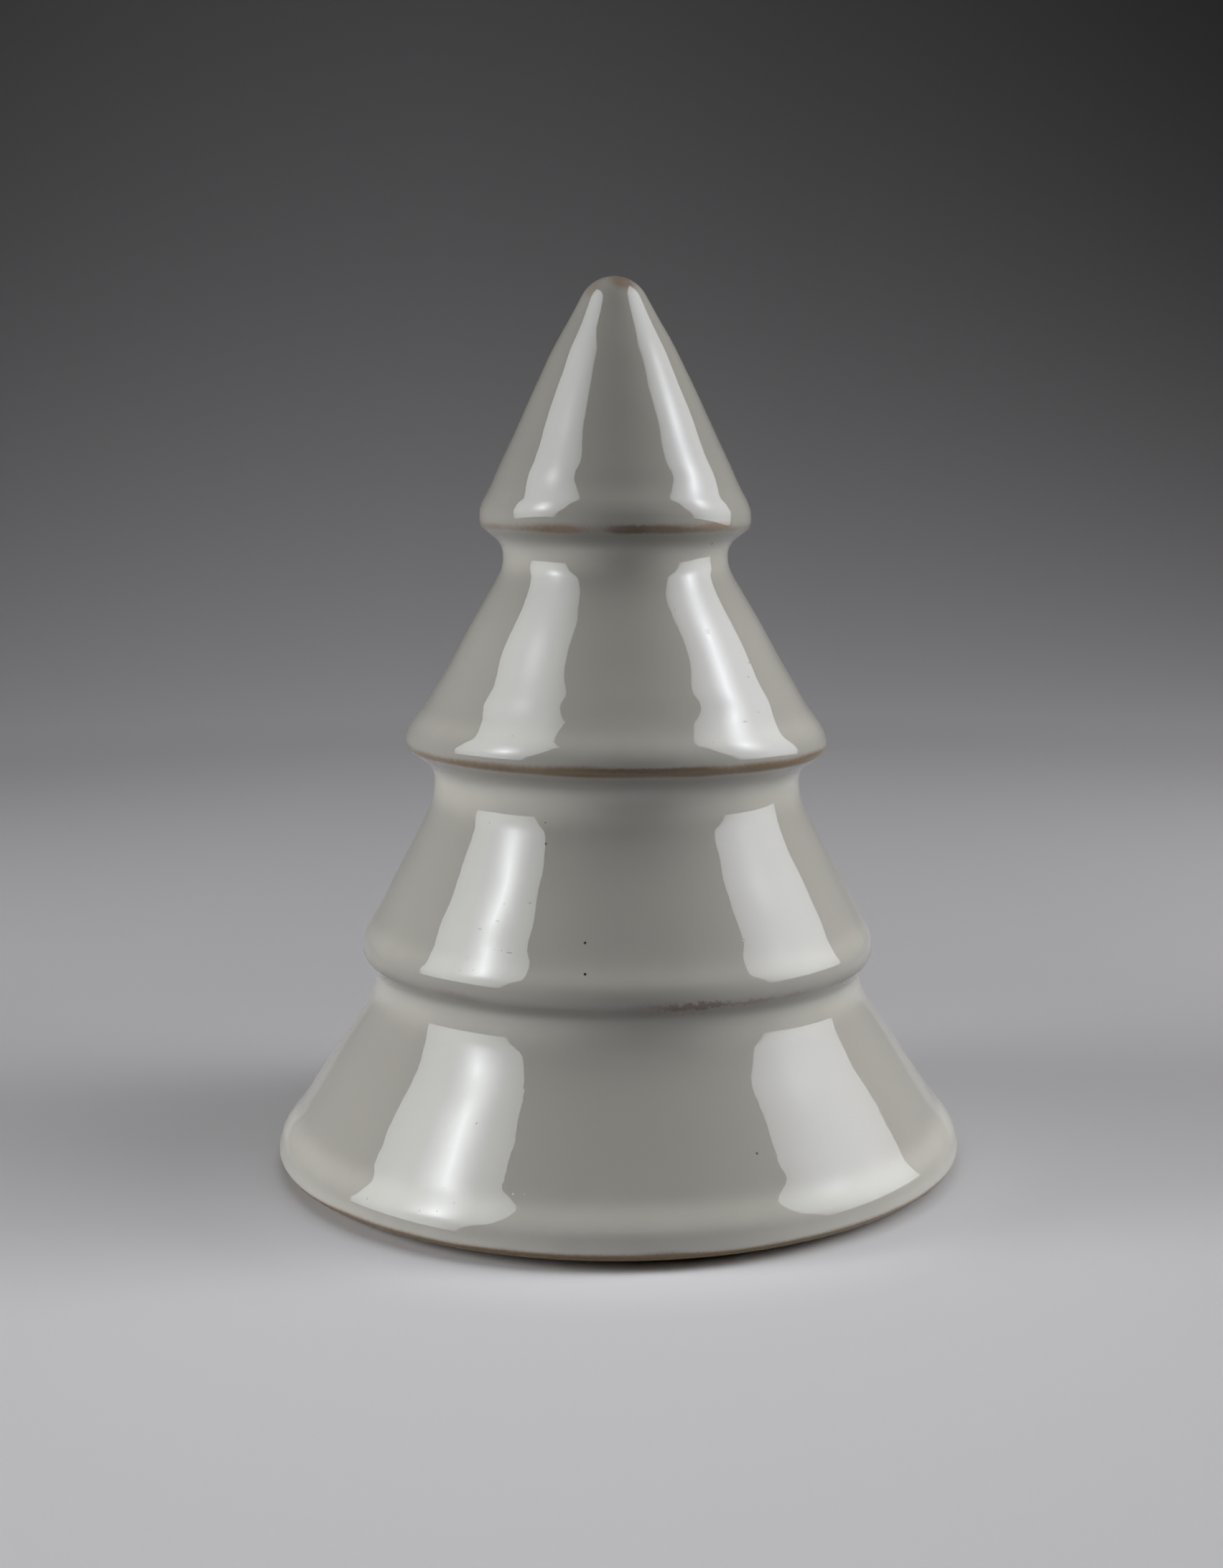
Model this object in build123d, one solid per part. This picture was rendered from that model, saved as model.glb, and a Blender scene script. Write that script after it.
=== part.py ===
"""Glazed stoneware Christmas tree that stands on a table.

A hollow cast body of four flared tiers closes in a flat foot. A glaze coat covers its
outside and stops just above the foot, where the bare clay shows. Four thin pads under
the foot ring lift it off the table.
Millimetres, +Z up, origin on the tree's axis at table height.
"""

import math
import os
from itertools import pairwise

from build123d import *

# Whole tree, table to tip. The flanks share the height that rims and necks leave them.
TREE_HEIGHT = 130.0
SKIRT_FLANK_SHARE = 0.187
LOWER_FLANK_SHARE = 0.224
UPPER_FLANK_SHARE = 0.237
SPIRE_BELLY_SHARE = 0.191

# Foot pads
PAD_THICKNESS = 0.6
PAD_MARGIN = 0.6  # bare ring left on both sides of a pad

# Foot and base of the clay body
FOOT_RADIUS = 48.3
FOOT_RING_WIDTH = 9.2
BASE_RECESS = 2.0  # underside inside the foot ring, above the foot
BASE_THICKNESS = 5.0
RECESS_FILLET = 1.5
VENT_DIAMETER = 10.0  # lets the slip drain and the kiln air out
VENT_FILLET = 1.0

# Cast wall and the hollow inside
WALL = 5.0
CAVITY_FILLET = 3.5
CAVITY_TOP_RADIUS = 2.4

# Glaze coat
GLAZE_THICKNESS = 0.4
GLAZE_STOP = 1.3  # height of bare clay wiped clean above the foot

# Skirt, the lowest tier, from its foot edge up
SKIRT_LIP_RISE = 1.3
SKIRT_LIP_FILLET = 1.5
SKIRT_RADIUS = 51.1
SKIRT_RIM_HEIGHT = 2.4
SKIRT_SHOULDER_FILLET = 4.2
SKIRT_FLARE_RUN = 5.2
SKIRT_FLARE_HEIGHT = 7.0
SKIRT_FLARE_FILLET = 50.0

# Neck between skirt and lower tier
LOW_NECK_RADIUS = 36.0
LOW_NECK_HEIGHT = 3.0
LOW_COVE_FILLET = 7.0
LOW_CREASE_FILLET = 0.8

# Lower tier
LOWER_UNDERCUT_HEIGHT = 2.2
LOWER_ARRIS_FILLET = 2.0
LOWER_RADIUS = 38.05
LOWER_RIM_HEIGHT = 2.2
LOWER_SHOULDER_FILLET = 4.0
LOWER_FLARE_RUN = 1.85
LOWER_FLARE_HEIGHT = 3.0
LOWER_FLARE_FILLET = 40.0

# Neck between lower and upper tier
MID_NECK_RADIUS = 27.0
MID_NECK_HEIGHT = 4.0
MID_COVE_FILLET = 8.0
MID_CREASE_FILLET = 3.6

# Upper tier
UPPER_UNDERCUT_HEIGHT = 3.0
UPPER_ARRIS_FILLET = 1.3
UPPER_RADIUS = 30.85
UPPER_RIM_HEIGHT = 2.5
UPPER_SHOULDER_FILLET = 4.0
UPPER_FLARE_RUN = 3.65
UPPER_FLARE_HEIGHT = 5.0
UPPER_FLARE_FILLET = 25.0

# Neck between upper tier and spire
TOP_NECK_RADIUS = 16.35
TOP_NECK_HEIGHT = 2.8
TOP_COVE_FILLET = 5.0
TOP_CREASE_FILLET = 2.8

# Spire, the top tier, a slightly swollen cone with a round nose
SPIRE_UNDERCUT_HEIGHT = 2.7
SPIRE_ARRIS_FILLET = 1.3
SPIRE_RADIUS = 19.75
SPIRE_RIM_HEIGHT = 3.2
SPIRE_SHOULDER_FILLET = 4.5
SPIRE_FLARE_RUN = 2.3
SPIRE_FLARE_HEIGHT = 4.0
SPIRE_FLARE_FILLET = 25.0
SPIRE_BELLY_RADIUS = 10.4
SPIRE_BELLY_FILLET = 150.0
NOSE_RADIUS = 5.3

# Most of an edge that the two fillets at its ends may use
FILLET_EDGE_SHARE = 0.98

# Height of everything but the flanks, and what is left for them
SKIRT_RISE = PAD_THICKNESS + SKIRT_LIP_RISE + SKIRT_RIM_HEIGHT + SKIRT_FLARE_HEIGHT
LOWER_RISE = LOWER_UNDERCUT_HEIGHT + LOWER_RIM_HEIGHT + LOWER_FLARE_HEIGHT
UPPER_RISE = UPPER_UNDERCUT_HEIGHT + UPPER_RIM_HEIGHT + UPPER_FLARE_HEIGHT
SPIRE_RISE = SPIRE_UNDERCUT_HEIGHT + SPIRE_RIM_HEIGHT + SPIRE_FLARE_HEIGHT
NECKS_HEIGHT = LOW_NECK_HEIGHT + MID_NECK_HEIGHT + TOP_NECK_HEIGHT
TIERS_RISE = SKIRT_RISE + LOWER_RISE + UPPER_RISE + SPIRE_RISE
FLANKS_HEIGHT = TREE_HEIGHT - TIERS_RISE - NECKS_HEIGHT

# Heights above the table, stacked from the foot to the belly of the spire
SKIRT_LIP_Z = PAD_THICKNESS + SKIRT_LIP_RISE
SKIRT_SHOULDER_Z = SKIRT_LIP_Z + SKIRT_RIM_HEIGHT
SKIRT_FLARE_Z = SKIRT_SHOULDER_Z + SKIRT_FLARE_HEIGHT
LOW_COVE_Z = SKIRT_FLARE_Z + SKIRT_FLANK_SHARE * FLANKS_HEIGHT
LOW_CREASE_Z = LOW_COVE_Z + LOW_NECK_HEIGHT
LOWER_ARRIS_Z = LOW_CREASE_Z + LOWER_UNDERCUT_HEIGHT
LOWER_SHOULDER_Z = LOWER_ARRIS_Z + LOWER_RIM_HEIGHT
LOWER_FLARE_Z = LOWER_SHOULDER_Z + LOWER_FLARE_HEIGHT
MID_COVE_Z = LOWER_FLARE_Z + LOWER_FLANK_SHARE * FLANKS_HEIGHT
MID_CREASE_Z = MID_COVE_Z + MID_NECK_HEIGHT
UPPER_ARRIS_Z = MID_CREASE_Z + UPPER_UNDERCUT_HEIGHT
UPPER_SHOULDER_Z = UPPER_ARRIS_Z + UPPER_RIM_HEIGHT
UPPER_FLARE_Z = UPPER_SHOULDER_Z + UPPER_FLARE_HEIGHT
TOP_COVE_Z = UPPER_FLARE_Z + UPPER_FLANK_SHARE * FLANKS_HEIGHT
TOP_CREASE_Z = TOP_COVE_Z + TOP_NECK_HEIGHT
SPIRE_ARRIS_Z = TOP_CREASE_Z + SPIRE_UNDERCUT_HEIGHT
SPIRE_SHOULDER_Z = SPIRE_ARRIS_Z + SPIRE_RIM_HEIGHT
SPIRE_FLARE_Z = SPIRE_SHOULDER_Z + SPIRE_FLARE_HEIGHT
SPIRE_BELLY_Z = SPIRE_FLARE_Z + SPIRE_BELLY_SHARE * FLANKS_HEIGHT
NOSE_CENTRE_Z = TREE_HEIGHT - NOSE_RADIUS

# The straight crown leaves the nose at this angle from the axis
CROWN_ANGLE = math.atan2(SPIRE_BELLY_RADIUS, NOSE_CENTRE_Z - SPIRE_BELLY_Z) - math.asin(
    NOSE_RADIUS / math.hypot(SPIRE_BELLY_RADIUS, NOSE_CENTRE_Z - SPIRE_BELLY_Z)
)
CROWN_TOP_RADIUS = NOSE_RADIUS * math.cos(CROWN_ANGLE)
CROWN_TOP_Z = NOSE_CENTRE_Z + NOSE_RADIUS * math.sin(CROWN_ANGLE)

FLOOR_Z = PAD_THICKNESS + BASE_RECESS + BASE_THICKNESS

# The glazed outside from the foot edge to the nose: radius, height and fillet
OUTSIDE = [
    (FOOT_RADIUS, PAD_THICKNESS, 0),
    (SKIRT_RADIUS, SKIRT_LIP_Z, SKIRT_LIP_FILLET),
    (SKIRT_RADIUS, SKIRT_SHOULDER_Z, SKIRT_SHOULDER_FILLET),
    (SKIRT_RADIUS - SKIRT_FLARE_RUN, SKIRT_FLARE_Z, SKIRT_FLARE_FILLET),
    (LOW_NECK_RADIUS, LOW_COVE_Z, LOW_COVE_FILLET),
    (LOW_NECK_RADIUS, LOW_CREASE_Z, LOW_CREASE_FILLET),
    (LOWER_RADIUS, LOWER_ARRIS_Z, LOWER_ARRIS_FILLET),
    (LOWER_RADIUS, LOWER_SHOULDER_Z, LOWER_SHOULDER_FILLET),
    (LOWER_RADIUS - LOWER_FLARE_RUN, LOWER_FLARE_Z, LOWER_FLARE_FILLET),
    (MID_NECK_RADIUS, MID_COVE_Z, MID_COVE_FILLET),
    (MID_NECK_RADIUS, MID_CREASE_Z, MID_CREASE_FILLET),
    (UPPER_RADIUS, UPPER_ARRIS_Z, UPPER_ARRIS_FILLET),
    (UPPER_RADIUS, UPPER_SHOULDER_Z, UPPER_SHOULDER_FILLET),
    (UPPER_RADIUS - UPPER_FLARE_RUN, UPPER_FLARE_Z, UPPER_FLARE_FILLET),
    (TOP_NECK_RADIUS, TOP_COVE_Z, TOP_COVE_FILLET),
    (TOP_NECK_RADIUS, TOP_CREASE_Z, TOP_CREASE_FILLET),
    (SPIRE_RADIUS, SPIRE_ARRIS_Z, SPIRE_ARRIS_FILLET),
    (SPIRE_RADIUS, SPIRE_SHOULDER_Z, SPIRE_SHOULDER_FILLET),
    (SPIRE_RADIUS - SPIRE_FLARE_RUN, SPIRE_FLARE_Z, SPIRE_FLARE_FILLET),
    (SPIRE_BELLY_RADIUS, SPIRE_BELLY_Z, SPIRE_BELLY_FILLET),
    (CROWN_TOP_RADIUS, CROWN_TOP_Z, 0),
]


def middle(low, high):
    return (low + high) / 2


def directions(corners):
    """Unit direction of each edge between neighbouring corners."""
    out = []
    for (r0, z0, _), (r1, z1, _) in pairwise(corners):
        length = math.hypot(r1 - r0, z1 - z0)
        out.append(((r1 - r0) / length, (z1 - z0) / length))
    return out


def turn(before, after):
    """Signed angle between two edge directions, positive toward the axis."""
    cross = before[0] * after[1] - before[1] * after[0]
    return math.atan2(cross, before[0] * after[0] + before[1] * after[1])


def inset(corners, depth):
    """The outline moved in by depth. Its first corner keeps its height."""
    ways = directions(corners)
    r, z, fillet_radius = corners[0]
    along_r, along_z = ways[0]
    moved = [(r - depth / along_z, z, fillet_radius)]
    for (r, z, fillet_radius), before, after in zip(corners[1:-1], ways, ways[1:]):
        angle = turn(before, after)
        step = depth / (1 + math.cos(angle))
        r -= step * (before[1] + after[1])
        z += step * (before[0] + after[0])
        fillet_radius += depth if angle < 0 else -depth
        moved.append((r, z, max(fillet_radius, 0)))
    r, z, fillet_radius = corners[-1]
    along_r, along_z = ways[-1]
    moved.append((r - depth * along_z, z + depth * along_r, fillet_radius))
    return moved


def fitted_fillets(corners):
    """Fillets of the inner corners, cut back where two of them crowd one edge."""
    ways = directions(corners)
    turns = [abs(turn(before, after)) for before, after in pairwise(ways)]
    reach = [0, *(c[2] * math.tan(t / 2) for c, t in zip(corners[1:-1], turns)), 0]
    room = []
    for (a, b), (used_a, used_b) in zip(pairwise(corners), pairwise(reach)):
        length = math.hypot(b[0] - a[0], b[1] - a[1])
        used = used_a + used_b
        room.append(min(1, FILLET_EDGE_SHARE * length / used) if used else 1)
    return [c[2] * min(pair) for c, pair in zip(corners[1:-1], pairwise(room))]


def polyline(corners):
    return FilletPolyline(*((r, z) for r, z, _ in corners), radius=fitted_fillets(corners))


def half_section(depth):
    """Half section of the whole tree, with its outside moved in by depth."""
    corners = inset(OUTSIDE, depth)
    nose = CenterArc(
        (0, NOSE_CENTRE_Z),
        NOSE_RADIUS - depth,
        math.degrees(CROWN_ANGLE),
        90 - math.degrees(CROWN_ANGLE),
    )
    side = polyline(corners)
    base = Polyline(nose @ 1, (0, PAD_THICKNESS), side @ 0)
    return make_face([*side.edges(), *nose.edges(), *base.edges()])


def cavity_section():
    """Half section of the hollow: one wall inside each tier's flank and undercut."""
    low_neck = (LOW_NECK_RADIUS, middle(LOW_COVE_Z, LOW_CREASE_Z))
    skirt_share = (FLOOR_Z - SKIRT_SHOULDER_Z) / (low_neck[1] - SKIRT_SHOULDER_Z)
    flank = [
        (SKIRT_RADIUS + skirt_share * (LOW_NECK_RADIUS - SKIRT_RADIUS), FLOOR_Z),
        low_neck,
        (LOWER_RADIUS, middle(LOWER_ARRIS_Z, LOWER_SHOULDER_Z)),
        (MID_NECK_RADIUS, middle(MID_COVE_Z, MID_CREASE_Z)),
        (UPPER_RADIUS, middle(UPPER_ARRIS_Z, UPPER_SHOULDER_Z)),
        (TOP_NECK_RADIUS, middle(TOP_COVE_Z, TOP_CREASE_Z)),
        (SPIRE_RADIUS, middle(SPIRE_ARRIS_Z, SPIRE_SHOULDER_Z)),
        (CROWN_TOP_RADIUS, CROWN_TOP_Z),
    ]
    inner = inset([(r, z, 0) for r, z in flank], WALL)
    (r0, z0, _), (r1, z1, _) = inner[-2:]
    top_z = z0 + (r0 - CAVITY_TOP_RADIUS) * (z1 - z0) / (r0 - r1)
    inner[-1] = (CAVITY_TOP_RADIUS, top_z, 0)
    corners = [(0, FLOOR_Z), *((r, z) for r, z, _ in inner), (0, top_z)]
    side = polyline([(r, z, CAVITY_FILLET) for r, z in corners])
    return make_face([*side.edges(), *Line(side @ 1, side @ 0).edges()])


def underside_section():
    """Half section of what is open below the base: the recess and the vent hole."""
    recess_z = PAD_THICKNESS + BASE_RECESS
    ring_inside = FOOT_RADIUS - FOOT_RING_WIDTH
    vent = VENT_DIAMETER / 2
    corners = [
        (ring_inside, PAD_THICKNESS, 0),
        (ring_inside, recess_z, RECESS_FILLET),
        (vent, recess_z, VENT_FILLET),
        (vent, FLOOR_Z, 0),
    ]
    side = polyline(corners)
    closing = Polyline(side @ 1, (0, FLOOR_Z), (0, PAD_THICKNESS), side @ 0)
    return make_face([*side.edges(), *closing.edges()])


def glaze_section():
    """Half section of the glaze coat, from its lower edge over the tip."""
    wiped = Rectangle(SKIRT_RADIUS, GLAZE_STOP, align=(Align.MIN, Align.MIN))
    coat = half_section(0) - half_section(GLAZE_THICKNESS)
    return coat - Pos(0, PAD_THICKNESS) * wiped


def spun(section):
    return revolve(Plane.XZ * section, Axis.Z)


def clay_body():
    """Cast body, hollow, with a recessed base, a foot ring and a vent hole."""
    section = half_section(0) - glaze_section() - cavity_section() - underside_section()
    return spun(section)


def glaze_coat():
    """Fired glaze on the outside of the body."""
    return spun(glaze_section())


def foot_pad(angle):
    """Thin stick-on pad in the middle of the foot ring."""
    pad_radius = FOOT_RING_WIDTH / 2 - PAD_MARGIN
    place = Rot(0, 0, angle) * Pos(FOOT_RADIUS - FOOT_RING_WIDTH / 2, 0, 0)
    return place * Cylinder(
        pad_radius, PAD_THICKNESS, align=(Align.CENTER, Align.CENTER, Align.MIN)
    )


PAD_ANGLES = {"back_right": 45, "back_left": 135, "front_left": 225, "front_right": 315}

os.makedirs("parts", exist_ok=True)
export_step(clay_body(), "parts/clay_body.step")
export_step(glaze_coat(), "parts/glaze_coat.step")
for corner, angle in PAD_ANGLES.items():
    export_step(foot_pad(angle), f"parts/foot_pad_{corner}.step")
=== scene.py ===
"""Looks of a small glazed stoneware Christmas tree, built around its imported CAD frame.

Metres, +Z up, -Y toward the photographed front. Section sizes are written in millimetres.
"""

import math
from itertools import pairwise

import bmesh
import bpy
from bpy.props import FloatProperty, FloatVectorProperty, IntProperty, PointerProperty
from mathutils import Matrix, Vector, noise


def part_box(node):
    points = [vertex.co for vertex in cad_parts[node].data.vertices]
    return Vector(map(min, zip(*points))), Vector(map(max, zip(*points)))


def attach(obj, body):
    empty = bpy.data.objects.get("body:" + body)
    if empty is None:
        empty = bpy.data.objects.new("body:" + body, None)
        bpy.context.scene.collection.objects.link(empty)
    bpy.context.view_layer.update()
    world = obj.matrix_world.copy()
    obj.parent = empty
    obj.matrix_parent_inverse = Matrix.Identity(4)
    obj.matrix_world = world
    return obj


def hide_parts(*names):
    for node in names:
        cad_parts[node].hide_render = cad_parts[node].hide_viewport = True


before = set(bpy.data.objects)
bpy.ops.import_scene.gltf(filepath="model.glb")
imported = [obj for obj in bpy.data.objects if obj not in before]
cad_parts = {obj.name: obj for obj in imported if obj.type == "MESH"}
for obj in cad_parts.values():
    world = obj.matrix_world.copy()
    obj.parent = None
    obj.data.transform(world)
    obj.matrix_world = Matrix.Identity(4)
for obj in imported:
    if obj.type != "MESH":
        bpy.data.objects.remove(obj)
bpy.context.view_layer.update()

bl_info = {
    "name": "Ceramic Christmas tree",
    "version": (1, 0, 0),
    "blender": (4, 5, 0),
    "location": "3D View > Sidebar > Ceramic tree",
    "description": "Fires the glaze coat, finishes the clay and the pads, and sets the studio",
    "category": "Object",
}

MM = 0.001
BODY = "root"

# Outside of the glazed tree from the foot up, as the CAD part has it, with a softer fillet
# under the lowest rim: radius, height and fillet of each corner, in mm.
OUTLINE = (
    (48.3, 0.6, 0.0),
    (51.1, 1.9, 1.5),
    (51.1, 4.3, 4.2),
    (45.9, 11.3, 50.0),
    (36.0, 26.47, 7.0),
    (36.0, 29.47, 2.0),
    (38.05, 31.67, 2.0),
    (38.05, 33.87, 4.0),
    (36.2, 36.87, 40.0),
    (27.0, 55.03, 8.0),
    (27.0, 59.03, 3.6),
    (30.85, 62.03, 1.3),
    (30.85, 64.53, 4.0),
    (27.2, 69.53, 25.0),
    (16.35, 88.75, 5.0),
    (16.35, 91.55, 2.8),
    (19.75, 94.25, 1.3),
    (19.75, 97.45, 4.5),
    (17.45, 101.45, 25.0),
    (10.4, 116.94, 150.0),
    (3.115, 130.0, 5.3),
    (0.0, 130.0, 0.0),
)
FILLET_EDGE_SHARE = 0.98  # most of a straight run that its two fillets may take
OUTLINE_ARC_STEPS = 8  # fewest faces along a fillet
MERGE_REACH = 1e-4  # mm

# Shallow rings and hollows of the turned form: height, half width and lift off the outline, in
# mm. They are the result of a least-squares fit to the edges of the highlights, apart from the
# last lift, which is given on its own.
RINGS = (
    (3.0, 1.08, 0.032), (4.1, 1.17, -0.103), (8.5, 1.72, -0.120),
    (15.2, 3.39, -0.041), (22.7, 5.00, -0.194), (27.5, 3.39, 0.246),
    (34.0, 0.94, -0.018), (36.2, 1.96, 0.089), (41.1, 2.55, 0.037),
    (48.7, 4.58, -0.156), (52.3, 1.61, -0.017), (55.9, 1.12, 0.073),
    (63.0, 1.83, 0.206), (65.0, 0.70, -0.033), (70.9, 2.35, 0.113),
    (80.2, 3.58, 0.107), (86.3, 1.34, -0.024), (90.5, 2.06, 0.156),
    (96.0, 2.08, 0.250), (97.1, 3.75, -0.167), (97.5, 0.70, -0.027),
    (102.3, 2.00, 0.147), (105.0, 1.91, 0.055), (120.0, 2.78, 0.080),
)

# The rims lean a little to the right: height and half width in mm, and slope.
LEANS = ((31.5, 7.0, 0.009), (62.3, 7.0, 0.0148), (94.5, 6.0, 0.0122))

# The lower edge runs down in waves: how many to a mm, how far up the coat follows them in
# mm, and the shares of the run that go inward and down along the foot's rounding.
RUN_WAVES, RUN_REACH = 0.35, 1.2
RUN_INWARD, RUN_DOWN = 0.638, 0.77

# Sharp edges where the glaze runs thin: radius, height, reach in mm and strength.
THIN_EDGES = (
    (19.65, 94.3, 1.0, 0.66),
    (30.75, 62.2, 1.0, 0.95),
    (50.7, 1.6, 1.0, 1.5),
)
# Coves and flares where the glaze gathers thick and white, partly painted light: radius, height,
# reach in mm and strength.
POOLS_AND_PAINTED_LIGHT = (
    (16.35, 89.6, 2.6, 0.65),
    (27.0, 57.0, 3.0, 0.7),
    (36.0, 27.8, 3.0, 0.65),
    (18.9, 99.0, 1.8, 0.25),
    (29.6, 66.2, 2.2, 0.48),
    (37.2, 35.4, 2.2, 0.48),
    (49.4, 6.6, 2.4, 0.8),
    (51.0, 3.0, 1.8, 0.45),
)
# Painted shade, greyer on the undersides of the rims: radius, height, reach in mm and strength.
PAINTED_SHADE_UNDER_RIMS = (
    (37.3, 30.9, 2.2, 1.0),
    (29.4, 60.9, 2.6, 1.0),
    (18.6, 93.2, 2.4, 1.0),
)
# The coat is also darker toward the tip: from and to which height in mm, and how much.
DARKER_TIP = (80.0, 105.0, 0.45)
# Marks in the glaze: place, reach across and reach up in mm, colour, strength and how much
# their outline frays.
MARKS = (
    ((-4.3, -34.43, 39.84), 0.24, 0.24, "#2c211c", 0.95, 0.2),
    ((-4.3, -36.5, 36.01), 0.26, 0.26, "#241a16", 1.0, 0.2),
    ((18.38, -41.04, 12.72), 0.22, 0.22, "#33302c", 0.8, 0.2),
    ((12.68, -17.04, 80.13), 0.55, 0.55, "#77736c", 0.7, 1.2),
    ((-13.81, -45.63, 8.9), 0.24, 0.24, "#efece6", 0.9, 0.2),
    ((-12.29, -45.97, 9.02), 0.2, 0.2, "#efece6", 0.7, 0.2),
    ((1.3, -2.8, 129.0), 2.3, 2.3, "#7d5c3f", 0.55, 0.8),
    ((-3.0, -2.6, 127.9), 1.8, 1.8, "#8d7052", 0.3, 0.8),
    ((7.0, -37.0, 31.2), 9.5, 1.3, "#827a78", 0.5, 1.6),
    ((10.6, -36.3, 31.5), 7.0, 0.65, "#6b584a", 0.7, 1.6),
    ((5.5, -18.8, 94.3), 5.5, 0.75, "#6f5b43", 0.65, 0.6),
    ((1.6, -19.55, 94.3), 3.8, 0.8, "#574429", 0.7, 0.5),
    ((-7.0, -18.3, 94.3), 3.2, 0.65, "#8b705a", 0.5, 0.9),
    ((14.2, -13.6, 94.6), 4.0, 0.65, "#96785f", 0.6, 0.9),
    ((3.8, -30.5, 62.5), 11.0, 0.45, "#5a4836", 0.6, 0.6),
    ((-31.88, -39.64, 2.0), 1.2, 0.6, "#7f776a", 0.5, 0.6),
    ((18.5, -33.2, 31.3), 4.5, 0.5, "#7d665a", 0.5, 1.3),
    ((24.5, -29.1, 31.2), 4.0, 0.45, "#85706a", 0.4, 1.3),
    ((-22.0, -31.0, 31.6), 5.0, 0.9, "#7f7976", 0.4, 1.6),
)
# Pits and short scratches in the glaze: place in mm, and how far they reach across.
PITS = (
    ((-18.68, -28.81, 40.56), 0.5), ((-15.41, -28.7, 44.03), 0.22),
    ((-16.27, -29.52, 41.81), 0.42), ((-11.83, -30.15, 44.43), 0.3),
    ((-17.69, -21.17, 53.97), 0.2), ((-16.6, -31.39, 38.25), 0.16),
    ((-15.6, -31.9, 38.27), 0.18), ((-14.51, -32.49, 38.11), 0.6),
    ((-21.38, -30.46, 35.24), 0.28), ((-19.45, -31.54, 35.5), 0.26),
    ((-9.75, -25.52, 54.7), 0.24), ((19.79, -19.27, 69.02), 0.18),
    ((18.75, -14.75, 75.51), 0.3), ((18.54, -16.61, 73.67), 0.2),
    ((13.17, -26.85, 65.88), 0.18), ((17.8, -22.0, 68.05), 0.6),
    ((-33.92, -37.21, 5.3), 0.2), ((-26.34, -42.67, 5.57), 0.22),
    ((-23.96, -43.79, 5.88), 0.22), ((-23.21, -42.05, 8.42), 0.24),
    ((-21.66, -43.96, 7.12), 0.18),
)
PIT_HEIGHT, PIT_COLOUR, PIT_STRENGTH, PIT_FRAY = 0.15, "#6b655d", 0.6, 0.16
MARK_CORE = 0.45  # share of a mark's reach that has its full strength

# Widths of the patterns in the materials, in mm.
CLOUD, DRIFT, PEEL, GRAIN, FRAY = 7.0, 14.0, 1.2, 0.6, 0.5
SPECK_NET, PINHOLE_NET = 4.0, 2.5
GRIT, FIBRE = 0.7, 0.4
# How much the clouds add to where the coat is white, and the drift and the fray to where it
# is thin.
CLOUD_SHARE, DRIFT_SHARE, FRAY_SHARE = 0.35, 0.9, 0.22
# Cells of the nets that hold a speck or a pinhole are those drawn above these lots.
SPECK_LOT, PINHOLE_LOT = 0.985, 0.7
PINHOLE_DEPTH = 6.0  # in heights of the orange peel
PEEL_HEIGHT = 0.004  # mm

# Section of the paper: radius, height and fillet in mm, then its longest face in mm, the
# faces along its curve and round it.
PAPER_SECTION = ((0, 0, 0), (1000, 0, 520), (1000, 1100, 0))
PAPER_GAP, PAPER_ARC_STEPS, PAPER_TURN_STEPS = 60.0, 24, 96
# Painted shade: the paper fades from this far along it, in metres, at a rate per metre that
# grows to the right and to both sides.
FADE_START, FADE_RATE, FADE_RIGHT, FADE_SIDES = 0.55, 1.52, 0.75, 1.95
# Half the picture's width for each metre from the camera.
VIEW_SLOPE = 0.293
# Outside the picture the paper glows by its own emission, painted light that dims by this rate
# per metre, from this level.
DUSK_RATE, DUSK_LEVEL = 1.55, 0.7

# Lamps: name, centre in mm, facing, up, size in mm and power in watts. The softboxes show
# only as highlights in the gloss, and the panels only light what is matte. The softboxes'
# places, directions and sizes come from the same fit as the rings.
SOFTBOXES = (
    ("softbox_left", (-529.0, -170.7, 448.4), (0.910, 0.156, -0.384), (0.356, 0.176, 0.918),
     (552.5, 756.7), 6.44),
    ("softbox_right", (297.8, -18.2, 283.6), (-0.908, -0.301, -0.293), (-0.325, 0.064, 0.943),
     (308.1, 443.2), 2.02),
)
PANELS = (
    ("panel_left", (-531.8, -93.8, 165.0), (0.965, 0.170, -0.200), (0.0, 0.0, 1.0),
     (220.0, 280.0), 2.15),
    ("panel_right_high", (478.0, -29.0, 416.0), (-0.797, 0.048, -0.602), (0.0, 0.0, 1.0),
     (430.0, 600.0), 1.85),
    ("panel_right_low", (574.6, 20.1, 200.0), (-0.969, -0.034, -0.245), (0.0, 0.0, 1.0),
     (220.0, 280.0), 1.55),
    ("panel_top", (0.0, -30.0, 660.0), (0.0, 0.050, -0.999), (0.0, 1.0, 0.0),
     (400.0, 400.0), 0.66),
)
CLOTH_FALL = (1.25, 1.0, 0.0)  # how fast a softbox dims across and along its cloth
CORE_REACH = 0.56  # of half a softbox's sides
# Bright core of each softbox, from its middle, as shares of half its sides, its strength, and
# the colour of the light.
CORES = {
    "softbox_left": (0.15, -0.06, 1.7, "#f7fcff"),
    "softbox_right": (0.0, 0.06, 1.6, "#f4f8ff"),
}


def linear(code):
    """Linear colour of an sRGB hex value."""
    parts = (int(code[i:i + 2], 16) / 255 for i in (1, 3, 5))
    return tuple(p / 12.92 if p <= 0.04045 else ((p + 0.055) / 1.055) ** 2.4 for p in parts)


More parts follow.
